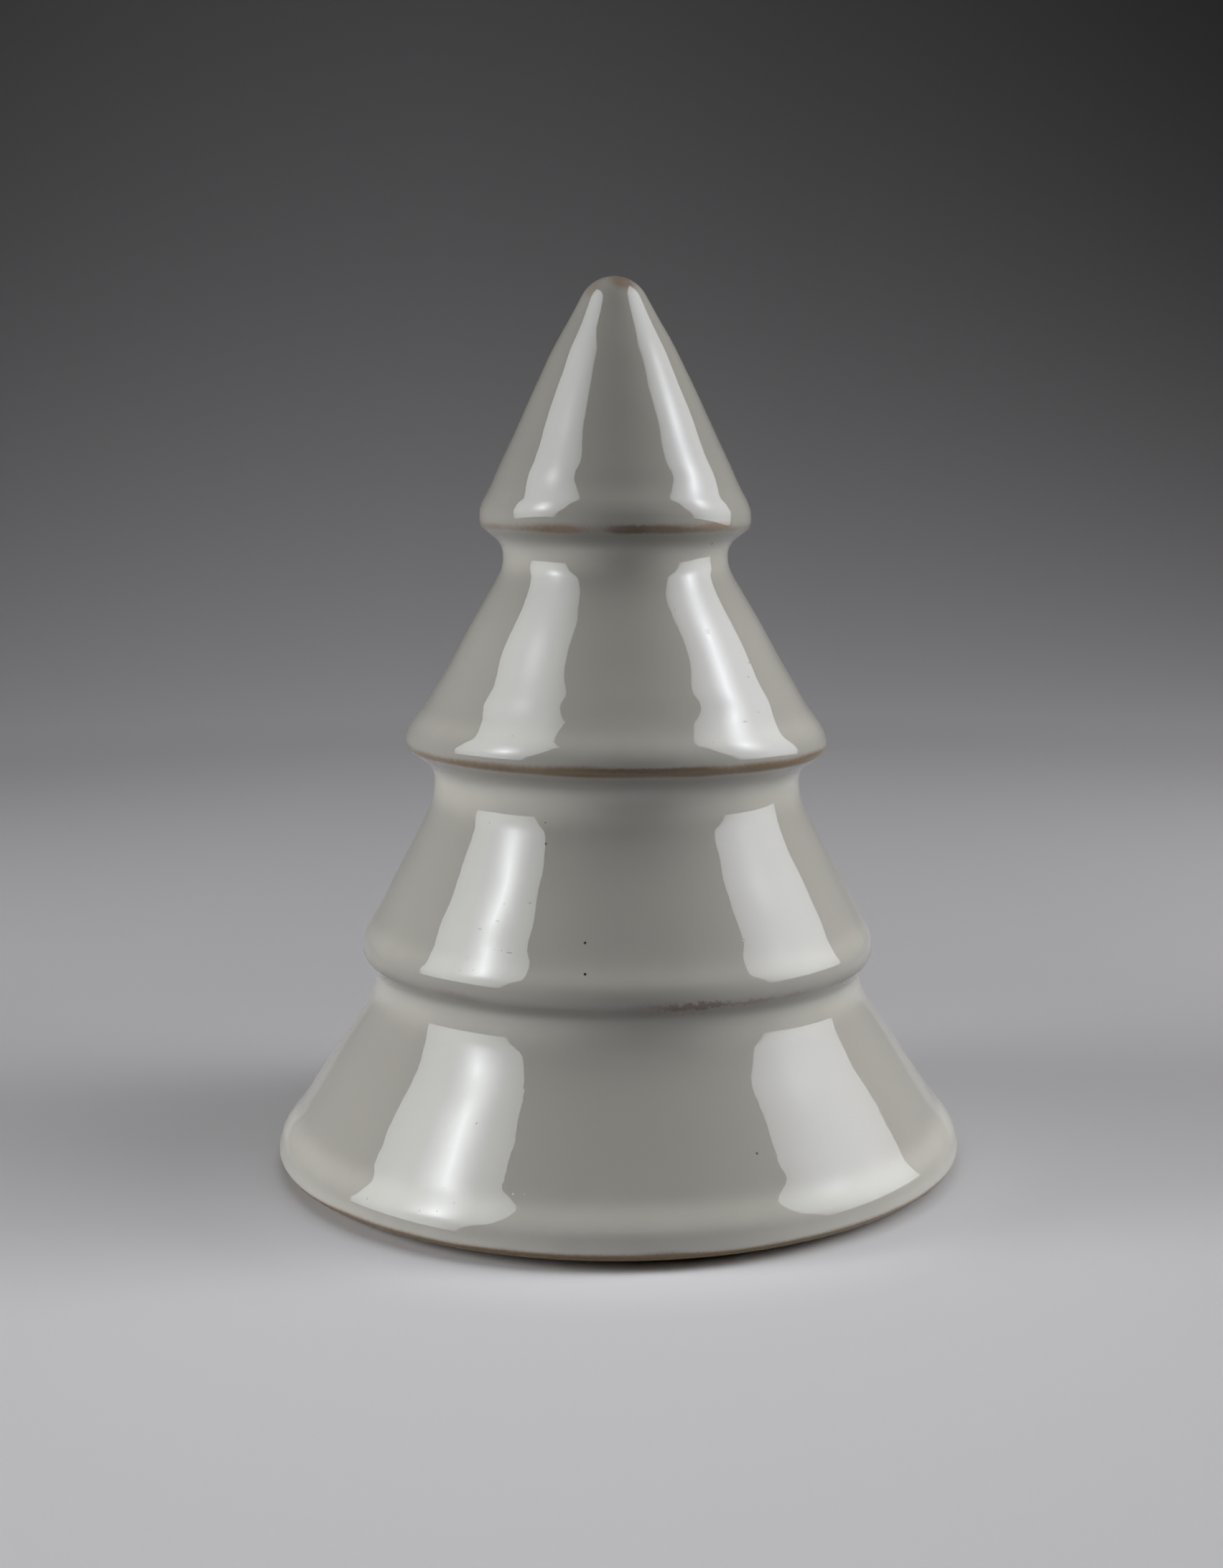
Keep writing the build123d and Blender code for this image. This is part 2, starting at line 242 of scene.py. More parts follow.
class GlazeSettings(bpy.types.PropertyGroup):
    """Sizes and colours of the glaze coat."""

    turn_steps: IntProperty(
        name="Turn steps", description="Faces round the tree", default=160, min=24)
    gap: FloatProperty(
        name="Row gap", description="Longest face along the outline",
        default=0.75 * MM, unit="LENGTH")
    thickness: FloatProperty(
        name="Thickness", description="Thickness of the fired coat",
        default=0.4 * MM, unit="LENGTH")
    stop: FloatProperty(
        name="Lower edge", description="Height of the coat's lower edge above the table",
        default=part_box("glaze_coat")[0].z, unit="LENGTH")
    run_down: FloatProperty(
        name="Run down", description="How far the wavy lower edge runs over the bare clay",
        default=0.2 * MM, unit="LENGTH")
    ripple_width: FloatProperty(
        name="Ripple width", description="Width of the small ripples in the coat",
        default=5.5 * MM, unit="LENGTH")
    ripple_height: FloatProperty(
        name="Ripple height", description="Height of the small ripples in the coat",
        default=0.035 * MM, unit="LENGTH")
    sway_width: FloatProperty(
        name="Sway width", description="Width of the slow waves of the hand-finished form",
        default=19.0 * MM, unit="LENGTH")
    sway_height: FloatProperty(
        name="Sway height", description="Height of the slow waves of the hand-finished form",
        default=0.05 * MM, unit="LENGTH")
    colour: FloatVectorProperty(
        name="Glaze", description="Colour of the coat on the flanks",
        subtype="COLOR", default=linear("#b5b2ab"))
    # partly painted light: the whiter colour of the thick glaze in the coves and flares also
    # stands in for light on them
    pooled_and_painted_light_colour: FloatVectorProperty(
        name="Pooled glaze", description="Colour where the coat gathers thick in the coves",
        subtype="COLOR", default=linear("#cbc9c0"))
    # painted shade: this colour greys the undersides of the rims and darkens the tip
    painted_shade_and_tip_colour: FloatVectorProperty(
        name="Drained glaze", description="Colour where the coat drains off the undersides",
        subtype="COLOR", default=linear("#908d87"))
    thin_colour: FloatVectorProperty(
        name="Thin glaze", description="Colour where the coat breaks thin over sharp edges",
        subtype="COLOR", default=linear("#76634a"))
    speck_colour: FloatVectorProperty(
        name="Specks", description="Colour of the iron specks fired into the coat",
        subtype="COLOR", default=linear("#4a3f33"))


class ClaySettings(bpy.types.PropertyGroup):
    """Colours of the bare clay and the pads."""

    colour: FloatVectorProperty(
        name="Clay", description="Colour of the bare stoneware",
        subtype="COLOR", default=linear("#8f7b58"))
    grit_colour: FloatVectorProperty(
        name="Grit", description="Colour of the darker grit in the bare stoneware",
        subtype="COLOR", default=linear("#6f5d40"))
    pad_colour: FloatVectorProperty(
        name="Pad", description="Colour of the foot pads",
        subtype="COLOR", default=linear("#3a3a3c"))


class StageSettings(bpy.types.PropertyGroup):
    """Camera, room light and paper."""

    focal_length: FloatProperty(
        name="Focal length", description="Lens of the camera, in millimetres",
        default=47.885, unit="CAMERA")
    distance: FloatProperty(
        name="Distance", description="Camera's distance in front of the tree's axis",
        default=307.3 * MM, unit="LENGTH")
    height: FloatProperty(
        name="Height", description="Camera's height above the table",
        default=102.1 * MM, unit="LENGTH")
    pitch: FloatProperty(
        name="Pitch", description="How far the camera looks down",
        default=math.radians(8.50), unit="ROTATION")
    yaw: FloatProperty(
        name="Yaw", description="How far the camera looks to the left",
        default=math.radians(0.138), unit="ROTATION")
    roll: FloatProperty(
        name="Roll", description="How far the camera leans",
        default=math.radians(-0.31), unit="ROTATION")
    room_light: FloatProperty(
        name="Room light", description="Strength of the dim light from the room", default=0.02)
    paper_colour: FloatVectorProperty(
        name="Paper", description="Colour of the paper under the tree",
        subtype="COLOR", default=linear("#e0e0e4"))
    # painted shade: the paper behind the tree is given this darker colour
    shade_colour: FloatVectorProperty(
        name="Far paper", description="Colour of the paper behind the tree",
        subtype="COLOR", default=linear("#c7c6c9"))


class TreeSettings(bpy.types.PropertyGroup):
    """All settings of the ceramic tree."""

    glaze: PointerProperty(type=GlazeSettings)
    clay: PointerProperty(type=ClaySettings)
    stage: PointerProperty(type=StageSettings)


def add_node(tree, kind, inputs=None, **settings):
    """Adds a node, sets its settings, and fills or links its inputs by name or place."""
    made = tree.nodes.new(kind)
    for name, value in settings.items():
        setattr(made, name, value)
    for name, value in (inputs or {}).items():
        if isinstance(value, bpy.types.NodeSocket):
            tree.links.new(value, made.inputs[name])
        else:
            made.inputs[name].default_value = value
    return made


def opaque(colour):
    """Colour with full alpha, as a colour socket takes it."""
    return (*colour, 1.0)


def new_material(name):
    """Empty node material and its shader."""
    material = bpy.data.materials.new(name)
    material.use_nodes = True
    return material, material.node_tree, material.node_tree.nodes["Principled BSDF"]


def unit(a, b):
    """Unit direction from one section corner to the next."""
    return Vector((b[0] - a[0], b[1] - a[1])).normalized()


def fitted_fillets(corners):
    """Fillets of the inner corners, cut back where two of them crowd one edge."""
    ways = [unit(a, b) for a, b in pairwise(corners)]
    turns = [a.angle(b) for a, b in pairwise(ways)]
    reach = [0, *(c[2] * math.tan(t / 2) for c, t in zip(corners[1:-1], turns)), 0]
    room = []
    for (a, b), (used_a, used_b) in zip(pairwise(corners), pairwise(reach)):
        length = math.hypot(b[0] - a[0], b[1] - a[1])
        used = used_a + used_b
        room.append(min(1, FILLET_EDGE_SHARE * length / used) if used else 1)
    return [c[2] * min(pair) for c, pair in zip(corners[1:-1], pairwise(room))]


def extend(bm, vert, point):
    """Extrudes a vertex of the section to a point and returns the new vertex."""
    new = bmesh.ops.extrude_vert_indiv(bm, verts=[vert])["verts"][0]
    bmesh.ops.translate(bm, verts=[new], vec=Vector((point[0], 0, point[1])) - new.co)
    return new


def bend(bm, vert, centre, angle, steps):
    """Spins a vertex of the section about a fillet's centre and returns the last vertex."""
    made = bmesh.ops.spin(
        bm, geom=[vert], cent=(centre[0], 0, centre[1]), axis=(0, -1, 0),
        angle=angle, steps=steps)
    return next(e for e in made["geom_last"] if isinstance(e, bmesh.types.BMVert))


def draw_section(bm, corners, gap, arc_steps):
    """Draws a section line in the XZ plane, its runs extruded and its fillets spun."""
    vert = bm.verts.new((corners[0][0], 0, corners[0][1]))
    inner = zip(corners, corners[1:], corners[2:], fitted_fillets(corners))
    for before, corner, after, fillet in inner:
        way_in, way_out = unit(before, corner), unit(corner, after)
        angle = -way_in.angle_signed(way_out)
        start = Vector(corner[:2]) - way_in * fillet * math.tan(abs(angle) / 2)
        vert = extend(bm, vert, start)
        if fillet:
            side = Vector((-way_in.y, way_in.x)) * math.copysign(fillet, angle)
            steps = max(arc_steps, math.ceil(abs(angle) * fillet / gap))
            vert = bend(bm, vert, start + side, angle, steps)
    extend(bm, vert, corners[-1])
    for edge in [e for e in bm.edges if e.calc_length() > gap]:
        bmesh.ops.subdivide_edges(bm, edges=[edge], cuts=int(edge.calc_length() / gap))


def raise_rings(bm):
    """Lifts the drawn section off its outline by the turning rings."""
    lifted = []
    for vert in bm.verts:
        ends = [edge.other_vert(vert).co for edge in vert.link_edges]
        if len(ends) == 2:
            lift = sum(h * math.exp(-((vert.co.z - z) / w) ** 2) for z, w, h in RINGS)
            low, high = sorted(ends, key=lambda co: co.z)
            along = (high - low).normalized()
            lifted.append((vert, Vector((along.z, 0, -along.x)) * lift))
    for vert, move in lifted:
        vert.co += move


def turn_section(bm, steps):
    """Turns the drawn section a full circle about the tree's axis and closes it."""
    bmesh.ops.spin(
        bm, geom=bm.verts[:] + bm.edges[:], cent=(0, 0, 0), axis=(0, 0, 1),
        angle=2 * math.pi, steps=steps, use_merge=True)
    bmesh.ops.remove_doubles(bm, verts=bm.verts[:], dist=MERGE_REACH)
    bmesh.ops.recalc_face_normals(bm, faces=bm.faces[:])
    bm.normal_update()


def new_piece(bm, name, material):
    """Scales a piece modelled in mm to metres and adds its object at the origin."""
    bmesh.ops.scale(bm, vec=(MM, MM, MM), verts=bm.verts[:])
    mesh = bpy.data.meshes.new(name)
    bm.to_mesh(mesh)
    bm.free()
    mesh.shade_smooth()
    mesh.materials.append(material)
    piece = bpy.data.objects.new(name, mesh)
    bpy.context.scene.collection.objects.link(piece)
    return piece


def nearness(radius, height, places):
    """Strongest pull of the given section places on a point, falling off with distance."""
    return max(
        strength * math.exp(-((radius - r) ** 2 + (height - z) ** 2) / reach ** 2)
        for r, z, reach, strength in places)


def glaze_material(settings):
    """Glossy opaque stoneware glaze, fired over the whole outside.

    To the eye: a warm off-white with sharp mirror highlights, whiter where it pools in the
    coves, partly painted light, grey with painted shade under the rims and darker toward the
    tip, tan where it breaks over edges, with a few iron specks and pinholes.
    """
    material, tree, shader = new_material("glossy_stoneware_glaze")
    place = add_node(tree, "ShaderNodeTexCoord").outputs["Object"]
    thin = add_node(tree, "ShaderNodeAttribute", attribute_name="glaze_thin").outputs["Fac"]
    pool_and_painted_light = add_node(tree, "ShaderNodeAttribute", attribute_name="glaze_pool_and_painted_light").outputs["Fac"]
    painted_shade_and_tip = add_node(tree, "ShaderNodeAttribute", attribute_name="glaze_painted_shade_and_dark_tip").outputs["Fac"]

    # cloudy mottling, whiter where the coat gathers, partly painted light, grey with painted
    # shade under the rims and darker toward the tip
    cloud = add_node(tree, "ShaderNodeTexNoise", {
        "Vector": place, "Scale": 1 / (CLOUD * MM), "Detail": 3.0, "Roughness": 0.6})
    gather = add_node(tree, "ShaderNodeMath", {
        0: cloud.outputs["Fac"], 1: CLOUD_SHARE, 2: pool_and_painted_light}, operation="MULTIPLY_ADD")
    white = add_node(tree, "ShaderNodeMapRange", {
        "Value": gather.outputs[0], "From Min": 0.15, "From Max": 1.2},
        interpolation_type="SMOOTHSTEP")
    base = add_node(tree, "ShaderNodeMix", {
        0: white.outputs[0], 6: opaque(settings.colour), 7: opaque(settings.pooled_and_painted_light_colour)},
        data_type="RGBA")
    with_painted_shade = add_node(tree, "ShaderNodeMix", {
        0: painted_shade_and_tip, 6: base.outputs[2], 7: opaque(settings.painted_shade_and_tip_colour)},
        data_type="RGBA")

    # thin edges: the tan band frays at its borders, and comes and goes round the rim
    fray = add_node(tree, "ShaderNodeTexNoise", {
        "Vector": place, "Scale": 1 / (FRAY * MM), "Detail": 2.0})
    drift = add_node(tree, "ShaderNodeTexNoise", {
        "Vector": place, "Scale": 1 / (DRIFT * MM), "Detail": 1.0})
    drifted = add_node(tree, "ShaderNodeMath", {
        0: drift.outputs["Fac"], 1: DRIFT_SHARE, 2: thin}, operation="MULTIPLY_ADD")
    frayed = add_node(tree, "ShaderNodeMath", {
        0: fray.outputs["Fac"], 1: FRAY_SHARE, 2: drifted.outputs[0]},
        operation="MULTIPLY_ADD")
    bare = add_node(tree, "ShaderNodeMapRange", {
        "Value": frayed.outputs[0], "From Min": 0.85, "From Max": 1.5},
        interpolation_type="SMOOTHSTEP")
    edged = add_node(tree, "ShaderNodeMix", {
        0: bare.outputs[0], 6: with_painted_shade.outputs[2], 7: opaque(settings.thin_colour)},
        data_type="RGBA")
    marked = edged.outputs[2]

    # single marks and pits, their outlines broken up by the grain
    grain = add_node(tree, "ShaderNodeTexNoise", {
        "Vector": place, "Scale": 1 / (GRAIN * MM), "Detail": 2.0})
    swing = add_node(tree, "ShaderNodeVectorMath", {
        0: grain.outputs["Color"], 1: (-0.5, -0.5, -0.5)}, operation="ADD")
    pits = [(at, wide, PIT_HEIGHT, PIT_COLOUR, PIT_STRENGTH, PIT_FRAY) for at, wide in PITS]
    for centre, across, up, colour, strength, ragged in (*MARKS, *pits):
        moved = add_node(tree, "ShaderNodeVectorMath", {
            0: swing.outputs[0], 1: (ragged * MM,) * 3, 2: place}, operation="MULTIPLY_ADD")
        offset = add_node(tree, "ShaderNodeVectorMath", {
            0: moved.outputs[0], 1: Vector(centre) * MM}, operation="SUBTRACT")
        shares = add_node(tree, "ShaderNodeVectorMath", {
            0: offset.outputs[0], 1: Vector((across, across, up)) * MM}, operation="DIVIDE")
        away = add_node(tree, "ShaderNodeVectorMath", {0: shares.outputs[0]}, operation="LENGTH")
        cover = add_node(tree, "ShaderNodeMapRange", {
            "Value": away.outputs["Value"], "From Min": 1.0, "From Max": MARK_CORE,
            "To Max": strength})
        mark = add_node(tree, "ShaderNodeMix", {
            0: cover.outputs[0], 6: marked, 7: opaque(linear(colour))}, data_type="RGBA")
        marked = mark.outputs[2]

    # iron specks of about 0.3 mm, in one cell in 65 of their net
    cells = add_node(tree, "ShaderNodeTexVoronoi", {
        "Vector": place, "Scale": 1 / (SPECK_NET * MM)})
    lot = add_node(tree, "ShaderNodeSeparateColor", {"Color": cells.outputs["Color"]})
    chosen = add_node(tree, "ShaderNodeMath", {
        0: lot.outputs["Blue"], 1: SPECK_LOT}, operation="GREATER_THAN")
    spot = add_node(tree, "ShaderNodeMapRange", {
        "Value": cells.outputs["Distance"], "From Min": 0.06, "From Max": 0.03,
        "To Max": 0.8})
    speck = add_node(tree, "ShaderNodeMath", {
        0: spot.outputs[0], 1: chosen.outputs[0]}, operation="MULTIPLY")
    specked = add_node(tree, "ShaderNodeMix", {
        0: speck.outputs[0], 6: marked, 7: opaque(settings.speck_colour)},
        data_type="RGBA")

    # pinholes of about 0.25 mm in a closer net, and a faint orange peel
    net = add_node(tree, "ShaderNodeTexVoronoi", {
        "Vector": place, "Scale": 1 / (PINHOLE_NET * MM)})
    draw = add_node(tree, "ShaderNodeSeparateColor", {"Color": net.outputs["Color"]})
    open_pit = add_node(tree, "ShaderNodeMath", {
        0: draw.outputs["Green"], 1: PINHOLE_LOT}, operation="GREATER_THAN")
    pit = add_node(tree, "ShaderNodeMapRange", {
        "Value": net.outputs["Distance"], "From Min": 0.06, "From Max": 0.02})
    pitted = add_node(tree, "ShaderNodeMath", {
        0: pit.outputs[0], 1: open_pit.outputs[0]}, operation="MULTIPLY")
    peel = add_node(tree, "ShaderNodeTexNoise", {
        "Vector": place, "Scale": 1 / (PEEL * MM), "Detail": 1.0})
    relief = add_node(tree, "ShaderNodeMath", {
        0: pitted.outputs[0], 1: -PINHOLE_DEPTH, 2: peel.outputs["Fac"]},
        operation="MULTIPLY_ADD")
    bump = add_node(tree, "ShaderNodeBump", {
        "Strength": 1.0, "Distance": PEEL_HEIGHT * MM, "Height": relief.outputs[0]})

    tree.links.new(specked.outputs[2], shader.inputs["Base Color"])
    tree.links.new(bump.outputs[0], shader.inputs["Normal"])
    shader.inputs["Roughness"].default_value = 0.02
    shader.inputs["IOR"].default_value = 1.55
    return material


def clay_material(settings):
    """Bare stoneware, wiped clean of glaze at the foot and under the base.

    To the eye: dry tan clay with fine darker grit and no gloss.
    """
    material, tree, shader = new_material("bare_stoneware")
    place = add_node(tree, "ShaderNodeTexCoord").outputs["Object"]
    grit = add_node(tree, "ShaderNodeTexNoise", {
        "Vector": place, "Scale": 1 / (GRIT * MM), "Detail": 4.0, "Roughness": 0.65})
    share = add_node(tree, "ShaderNodeMapRange", {
        "Value": grit.outputs["Fac"], "From Min": 0.42, "From Max": 0.72})
    colour = add_node(tree, "ShaderNodeMix", {
        0: share.outputs[0], 6: opaque(settings.colour), 7: opaque(settings.grit_colour)},
        data_type="RGBA")
    bump = add_node(tree, "ShaderNodeBump", {
        "Strength": 0.6, "Distance": 0.05 * MM, "Height": grit.outputs["Fac"]})
    tree.links.new(colour.outputs[2], shader.inputs["Base Color"])
    tree.links.new(bump.outputs[0], shader.inputs["Normal"])
    shader.inputs["Roughness"].default_value = 0.85
    return material


def felt_material(settings):
    """Pressed wool felt of the stick-on pads.

    To the eye: dull charcoal with lighter stray fibres and a soft sheen.
    """
    material, tree, shader = new_material("pressed_felt")
    place = add_node(tree, "ShaderNodeTexCoord").outputs["Object"]
    fibre = add_node(tree, "ShaderNodeTexNoise", {
        "Vector": place, "Scale": 1 / (FIBRE * MM), "Detail": 5.0, "Distortion": 1.5})
    share = add_node(tree, "ShaderNodeMapRange", {
        "Value": fibre.outputs["Fac"], "From Min": 0.35, "From Max": 0.75,
        "To Min": 0.6, "To Max": 1.5})
    colour = add_node(tree, "ShaderNodeVectorMath", {
        0: settings.pad_colour, "Scale": share.outputs[0]}, operation="SCALE")
    bump = add_node(tree, "ShaderNodeBump", {
        "Strength": 0.8, "Distance": 0.08 * MM, "Height": fibre.outputs["Fac"]})
    tree.links.new(colour.outputs[0], shader.inputs["Base Color"])
    tree.links.new(bump.outputs[0], shader.inputs["Normal"])
    shader.inputs["Roughness"].default_value = 0.95
    shader.inputs["Sheen Weight"].default_value = 0.3
    return material


def paper_material(settings):
    """Matte photo paper, pale under the tree and falling into shade behind it.

    To the eye: an even pale floor that fades into a dark grey background. Its patterns are
    laid out in metres from the tree's axis.
    """
    material, tree, shader = new_material("matte_photo_paper")
    place = add_node(tree, "ShaderNodeTexCoord").outputs["Object"]
    parts = add_node(tree, "ShaderNodeSeparateXYZ", {"Vector": place})
    # painted shade: behind the tree the paper turns to the darker far colour
    behind = add_node(tree, "ShaderNodeMapRange", {
        "Value": parts.outputs["Y"], "From Min": -0.05, "From Max": 0.04},
        interpolation_type="SMOOTHSTEP")
    floor = add_node(tree, "ShaderNodeMix", {
        0: behind.outputs[0], 6: opaque(settings.paper_colour),
        7: opaque(settings.shade_colour)}, data_type="RGBA")

    # painted shade: behind, it fades with the way along it, which goes up its curve
    out = add_node(tree, "ShaderNodeVectorMath", {
        0: place, 1: (1.0, 1.0, 0.0)}, operation="MULTIPLY")
    radius = add_node(tree, "ShaderNodeVectorMath", {0: out.outputs[0]}, operation="LENGTH")
    travel = add_node(tree, "ShaderNodeMath", {
        0: radius.outputs["Value"], 1: parts.outputs["Z"]}, operation="ADD")
    beyond = add_node(tree, "ShaderNodeMath", {
        0: travel.outputs[0], 1: FADE_START}, operation="SUBTRACT")
    past = add_node(tree, "ShaderNodeMath", {0: beyond.outputs[0], 1: 0.0}, operation="MAXIMUM")
    steeper = add_node(tree, "ShaderNodeMath", {
        0: parts.outputs["X"], 1: -FADE_SIDES, 2: -FADE_RIGHT}, operation="MULTIPLY_ADD")
    rate = add_node(tree, "ShaderNodeMath", {
        0: parts.outputs["X"], 1: steeper.outputs[0], 2: -FADE_RATE},
        operation="MULTIPLY_ADD")
    fall = add_node(tree, "ShaderNodeMath", {
        0: past.outputs[0], 1: rate.outputs[0]}, operation="MULTIPLY")
    fade = add_node(tree, "ShaderNodeMath", {0: fall.outputs[0]}, operation="EXPONENT")

    # painted shade: in front, it dims where the light ends, and from left to right
    near = add_node(tree, "ShaderNodeMapRange", {
        "Value": parts.outputs["Y"], "From Min": -0.35, "From Max": -0.14, "To Min": 0.25},
        interpolation_type="SMOOTHSTEP")
    across = add_node(tree, "ShaderNodeMapRange", {
        "Value": parts.outputs["X"], "From Min": -0.1, "From Max": 0.1,
        "To Min": 0.98, "To Max": 0.88})
    # painted light: it is brightest in the middle, most of all in front, and a little more far
    # behind
    bow = add_node(tree, "ShaderNodeMapRange", {
        "Value": parts.outputs["Y"], "From Min": -0.03, "From Max": 0.12, "To Min": -12.0,
        "To Max": -2.0})
    bent = add_node(tree, "ShaderNodeMath", {
        0: parts.outputs["X"], 1: bow.outputs[0]}, operation="MULTIPLY")
    middle = add_node(tree, "ShaderNodeMath", {
        0: parts.outputs["X"], 1: bent.outputs[0], 2: 1.0}, operation="MULTIPLY_ADD")
    far = add_node(tree, "ShaderNodeMapRange", {
        "Value": parts.outputs["Y"], "From Min": 0.1, "From Max": 0.45, "To Min": 1.0,
        "To Max": 1.3})
    # it is lighter just in front of the foot, so that the shadow there stays thin
    brim = add_node(tree, "ShaderNodeMapRange", {
        "Value": radius.outputs["Value"], "From Min": 0.051, "From Max": 0.068,
        "To Min": 0.14, "To Max": 0.0}, interpolation_type="SMOOTHSTEP")
    ahead = add_node(tree, "ShaderNodeMapRange", {
        "Value": parts.outputs["Y"], "From Min": 0.0, "From Max": -0.045})
    bright = add_node(tree, "ShaderNodeMath", {
        0: brim.outputs[0], 1: ahead.outputs[0], 2: near.outputs[0]},
        operation="MULTIPLY_ADD")
    sides = add_node(tree, "ShaderNodeMath", {
        0: across.outputs[0], 1: bright.outputs[0]}, operation="MULTIPLY")
    depth = add_node(tree, "ShaderNodeMath", {
        0: fade.outputs[0], 1: far.outputs[0]}, operation="MULTIPLY")
    spread = add_node(tree, "ShaderNodeMath", {
        0: middle.outputs[0], 1: sides.outputs[0]}, operation="MULTIPLY")
    level = add_node(tree, "ShaderNodeMath", {
        0: depth.outputs[0], 1: spread.outputs[0]}, operation="MULTIPLY")
    colour = add_node(tree, "ShaderNodeVectorMath", {
        0: floor.outputs[2], "Scale": level.outputs[0]}, operation="SCALE")
    tree.links.new(colour.outputs[0], shader.inputs["Base Color"])
    shader.inputs["Roughness"].default_value = 0.9
    shader.inputs["Specular IOR Level"].default_value = 0.0

    # painted light: outside the photograph's edges, where the lamps' light ends, the far paper
    # glows by its own emission as a plain fade into the dark
    wide = add_node(tree, "ShaderNodeMath", {0: parts.outputs["X"]}, operation="ABSOLUTE")
    outside = add_node(tree, "ShaderNodeMath", {
        0: parts.outputs["Y"], 1: -VIEW_SLOPE, 2: wide.outputs[0]},
        operation="MULTIPLY_ADD")
    flank = add_node(tree, "ShaderNodeMapRange", {
        "Value": outside.outputs[0], "From Min": 0.1, "From Max": 0.2},
        interpolation_type="SMOOTHSTEP")
    front = add_node(tree, "ShaderNodeMapRange", {
        "Value": parts.outputs["Y"], "From Min": -0.13, "From Max": -0.25},
        interpolation_type="SMOOTHSTEP")
    aside = add_node(tree, "ShaderNodeMath", {
        0: flank.outputs[0], 1: front.outputs[0]}, operation="MAXIMUM")
    outer = add_node(tree, "ShaderNodeMapRange", {
        "Value": radius.outputs["Value"], "From Min": 0.16, "From Max": 0.28},
        interpolation_type="SMOOTHSTEP")
    ray = add_node(tree, "ShaderNodeLightPath")
    direct = add_node(tree, "ShaderNodeMath", {
        0: ray.outputs["Is Camera Ray"], 1: ray.outputs["Is Transmission Ray"]},
        operation="MAXIMUM")
    seen = add_node(tree, "ShaderNodeMath", {
        0: direct.outputs[0], 1: ray.outputs["Is Glossy Ray"]}, operation="MAXIMUM")
    edge = add_node(tree, "ShaderNodeMath", {
        0: aside.outputs[0], 1: outer.outputs[0]}, operation="MULTIPLY")
    share = add_node(tree, "ShaderNodeMath", {
        0: edge.outputs[0], 1: seen.outputs[0]}, operation="MULTIPLY")
    dim = add_node(tree, "ShaderNodeMath", {
        0: travel.outputs[0], 1: -DUSK_RATE}, operation="MULTIPLY")
    dusk = add_node(tree, "ShaderNodeMath", {0: dim.outputs[0]}, operation="EXPONENT")
    glow = add_node(tree, "ShaderNodeMath", {
        0: dusk.outputs[0], 1: DUSK_LEVEL}, operation="MULTIPLY")
    painted_glow = add_node(tree, "ShaderNodeEmission", {
        "Color": opaque(settings.shade_colour), "Strength": glow.outputs[0]})
    mixed = add_node(tree, "ShaderNodeMixShader", {
        0: share.outputs[0], 1: shader.outputs[0], 2: painted_glow.outputs[0]})
    tree.links.new(mixed.outputs[0], tree.nodes["Material Output"].inputs["Surface"])
    return material


class TREE_OT_glaze_coat(bpy.types.Operator):
    """Turns the glaze coat with its ripples and its wavy lower edge."""

    bl_idname = "ceramic_tree.glaze_coat"
    bl_label = "Glaze coat"

    def execute(self, context):
        settings = context.scene.ceramic_tree.glaze
        gap, stop = settings.gap / MM, settings.stop / MM
        bm = bmesh.new()
        draw_section(bm, OUTLINE, gap, OUTLINE_ARC_STEPS)
        raise_rings(bm)
        bmesh.ops.bisect_plane(
            bm, geom=bm.verts[:] + bm.edges[:], plane_co=(0, 0, stop), plane_no=(0, 0, 1),
            clear_inner=True)
        thin = bm.verts.layers.float.new("glaze_thin")
        pool_and_painted_light = bm.verts.layers.float.new("glaze_pool_and_painted_light")
        painted_shade_and_tip = bm.verts.layers.float.new("glaze_painted_shade_and_dark_tip")
        low, high, most = DARKER_TIP
        for vert in bm.verts:
            vert[thin] = nearness(vert.co.x, vert.co.z, THIN_EDGES)
            # thick white glaze in the coves and flares, partly painted light
            vert[pool_and_painted_light] = nearness(vert.co.x, vert.co.z, POOLS_AND_PAINTED_LIGHT)
            # painted shade under the rims, and darker toward the tip
            tip = most * min(1, max(0, (vert.co.z - low) / (high - low)))
            vert[painted_shade_and_tip] = max(tip, nearness(vert.co.x, vert.co.z, PAINTED_SHADE_UNDER_RIMS))
        turn_section(bm, settings.turn_steps)
        self.ripple(bm, settings)
        bmesh.ops.solidify(bm, geom=bm.faces[:], thickness=settings.thickness / MM)
        coat = new_piece(bm, "glaze_coat_fired", glaze_material(settings))
        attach(coat, BODY)
        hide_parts("glaze_coat")
        return {"FINISHED"}

    def ripple(self, bm, settings):
        """Moves the coat by its ripples, slow waves and leaning rims, and runs its edge down."""
        stop, run = settings.stop / MM, settings.run_down / MM
        waves = (
            (settings.ripple_width / MM, settings.ripple_height / MM),
            (settings.sway_width / MM, settings.sway_height / MM),
        )
        pool_and_painted_light = bm.verts.layers.float["glaze_pool_and_painted_light"]
        for vert in bm.verts:
            place = vert.co.copy()
            lift = sum(h * noise.noise(place / w + Vector((w, 0, 0))) for w, h in waves)
            lift *= 1 - vert[pool_and_painted_light]
            slope = sum(s * math.exp(-((place.z - z) / w) ** 2) for z, w, s in LEANS)
            vert.co += vert.normal * lift - Vector((0, 0, slope * place.x))
            near = max(0.0, 1 - (place.z - stop) / RUN_REACH)
            if near:
                wave = 0.5 + 0.5 * noise.noise(place * RUN_WAVES)
                outward = Vector((place.x, place.y, 0)).normalized()
                way = outward * RUN_INWARD + Vector((0, 0, RUN_DOWN))
                vert.co -= way * run * wave * near ** 2


